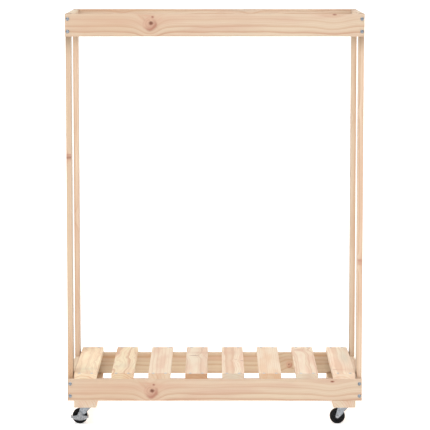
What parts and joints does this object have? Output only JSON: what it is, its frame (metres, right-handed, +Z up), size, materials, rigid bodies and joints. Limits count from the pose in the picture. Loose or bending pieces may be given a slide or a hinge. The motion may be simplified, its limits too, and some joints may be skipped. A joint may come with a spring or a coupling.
{
  "type": "firewood log rack",
  "caption": "Open upright pine rack for split firewood: a slatted deck between tall posts with a top ring of boards, on small swivel casters, some with a rocking brake pedal.",
  "frame": {"origin": "on the floor, under the middle of the rack", "axes": "+Z up, X along the rack's width, front of the rack at -Y"},
  "size_m": [0.765, 0.405, 1.071],
  "materials": {
    "rail_pine": "planed pine, unfinished, satin",
    "post_pine": "planed pine, unfinished, satin",
    "deck_pine": "planed pine, unfinished, satin",
    "dowel_beech": "smooth turned beech",
    "screw_zinc": "bright zinc plate",
    "caster_zinc": "pressed sheet, zinc plate",
    "pedal_zinc": "pressed sheet, zinc plate",
    "ball_steel": "polished",
    "wheel_black": "moulded, fine grain",
    "tyre_black": "smooth tread, matt"
  },
  "bodies": {
    "rack": {"post_front_left": "post_pine", "post_front_right": "post_pine", "post_rear_left": "post_pine", "post_rear_right": "post_pine", "rail_bottom_front": "rail_pine", "rail_bottom_rear": "rail_pine", "rail_top_front": "rail_pine", "rail_top_rear": "rail_pine", "side_board_bottom_left": "rail_pine", "side_board_bottom_right": "rail_pine", "side_board_top_left": "rail_pine", "side_board_top_right": "rail_pine", "slat_1": "deck_pine", "slat_2": "deck_pine", "slat_3": "deck_pine", "slat_4": "deck_pine", "slat_5": "deck_pine", "slat_6": "deck_pine", "slat_7": "deck_pine", "slat_8": "deck_pine", "caster_board_left": "deck_pine", "caster_board_right": "deck_pine", "rail_screws": "screw_zinc", "slat_screws": "screw_zinc", "caster_board_screws": "screw_zinc", "caster_plate_screws": "screw_zinc", "side_board_dowels": "dowel_beech", "caster_front_left_plate": "caster_zinc", "caster_front_left_king_pin": "caster_zinc", "caster_front_right_plate": "caster_zinc", "caster_front_right_king_pin": "caster_zinc", "caster_rear_left_plate": "caster_zinc", "caster_rear_left_king_pin": "caster_zinc", "caster_rear_right_plate": "caster_zinc", "caster_rear_right_king_pin": "caster_zinc"},
    "caster_front_left_fork": {"caster_front_left_fork": "caster_zinc", "caster_front_left_balls": "ball_steel", "caster_front_left_axle": "caster_zinc", "caster_front_left_brake_pivot": "caster_zinc"},
    "caster_front_left_wheel": {"caster_front_left_wheel_core": "wheel_black", "caster_front_left_tyre": "tyre_black"},
    "caster_front_left_pedal": {"caster_front_left_brake_pedal": "pedal_zinc"},
    "caster_front_right_fork": {"caster_front_right_fork": "caster_zinc", "caster_front_right_balls": "ball_steel", "caster_front_right_axle": "caster_zinc"},
    "caster_front_right_wheel": {"caster_front_right_wheel_core": "wheel_black", "caster_front_right_tyre": "tyre_black"},
    "caster_rear_left_fork": {"caster_rear_left_fork": "caster_zinc", "caster_rear_left_balls": "ball_steel", "caster_rear_left_axle": "caster_zinc"},
    "caster_rear_left_wheel": {"caster_rear_left_wheel_core": "wheel_black", "caster_rear_left_tyre": "tyre_black"},
    "caster_rear_right_fork": {"caster_rear_right_fork": "caster_zinc", "caster_rear_right_balls": "ball_steel", "caster_rear_right_axle": "caster_zinc", "caster_rear_right_brake_pivot": "caster_zinc"},
    "caster_rear_right_wheel": {"caster_rear_right_wheel_core": "wheel_black", "caster_rear_right_tyre": "tyre_black"},
    "caster_rear_right_pedal": {"caster_rear_right_brake_pedal": "pedal_zinc"}
  },
  "joints": [
    {"name": "caster_front_left_swivel", "type": "hinge", "parent": "rack", "child": "caster_front_left_fork", "pos_m": [-0.337, -0.155, 0.046], "axis": [0, 0, 1], "continuous": true},
    {"name": "caster_front_left_roll", "type": "hinge", "parent": "caster_front_left_fork", "child": "caster_front_left_wheel", "pos_m": [-0.353, -0.155, 0.02], "axis": [0, 1, 0], "continuous": true},
    {"name": "caster_front_left_brake", "type": "hinge", "parent": "caster_front_left_fork", "child": "caster_front_left_pedal", "pos_m": [-0.353, -0.155, 0.028], "axis": [0, -1, 0], "range_deg": [0, 10]},
    {"name": "caster_front_right_swivel", "type": "hinge", "parent": "rack", "child": "caster_front_right_fork", "pos_m": [0.337, -0.155, 0.046], "axis": [0, 0, 1], "continuous": true},
    {"name": "caster_front_right_roll", "type": "hinge", "parent": "caster_front_right_fork", "child": "caster_front_right_wheel", "pos_m": [0.321, -0.155, 0.02], "axis": [0, 1, 0], "continuous": true},
    {"name": "caster_rear_left_swivel", "type": "hinge", "parent": "rack", "child": "caster_rear_left_fork", "pos_m": [-0.337, 0.155, 0.046], "axis": [0, 0, 1], "continuous": true},
    {"name": "caster_rear_left_roll", "type": "hinge", "parent": "caster_rear_left_fork", "child": "caster_rear_left_wheel", "pos_m": [-0.353, 0.155, 0.02], "axis": [0, 1, 0], "continuous": true},
    {"name": "caster_rear_right_swivel", "type": "hinge", "parent": "rack", "child": "caster_rear_right_fork", "pos_m": [0.337, 0.155, 0.046], "axis": [0, 0, 1], "continuous": true},
    {"name": "caster_rear_right_roll", "type": "hinge", "parent": "caster_rear_right_fork", "child": "caster_rear_right_wheel", "pos_m": [0.321, 0.155, 0.02], "axis": [0, 1, 0], "continuous": true},
    {"name": "caster_rear_right_brake", "type": "hinge", "parent": "caster_rear_right_fork", "child": "caster_rear_right_pedal", "pos_m": [0.321, 0.155, 0.028], "axis": [0, -1, 0], "range_deg": [0, 10]}
  ]
}
